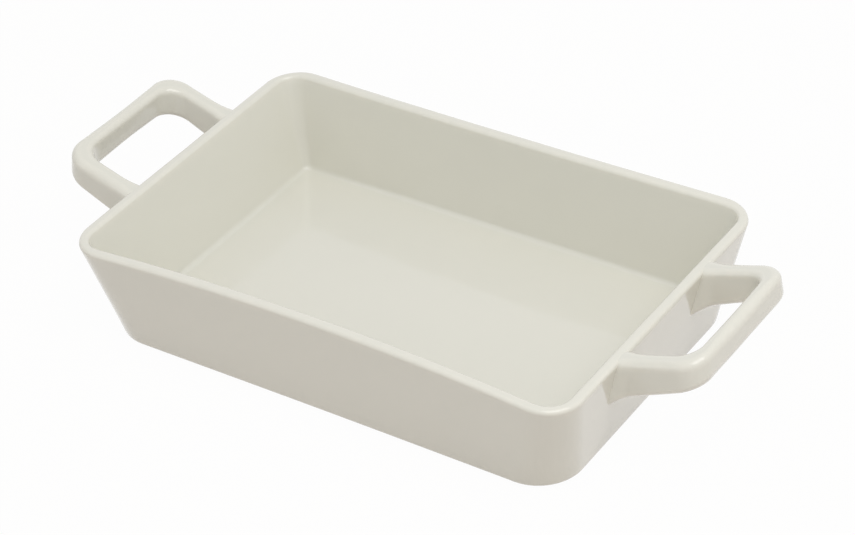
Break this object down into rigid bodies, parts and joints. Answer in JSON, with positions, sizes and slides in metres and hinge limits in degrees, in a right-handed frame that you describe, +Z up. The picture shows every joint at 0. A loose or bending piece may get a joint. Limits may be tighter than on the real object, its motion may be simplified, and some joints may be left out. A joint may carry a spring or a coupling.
{
  "type": "lasagna dish",
  "caption": "Rectangular glazed stoneware baking dish with sloping walls, a rounded lip, a rising loop handle on each short end and a bare foot ring.",
  "frame": {"origin": "centre of the footprint, on the surface the dish stands on", "axes": "+X along the dish from the left handle to the right handle, +Y across it from front to back, +Z up"},
  "size_m": [0.3878, 0.1982, 0.0722],
  "materials": {
    "glaze": "glossy warm white glaze over cream stoneware, thinner on the edges",
    "bare_clay": "unglazed stoneware, sanded smooth, matt"
  },
  "bodies": {
    "root": {"dish_body": "glaze", "foot_ring": "bare_clay", "left_handle": "glaze", "right_handle": "glaze"}
  },
  "joints": []
}
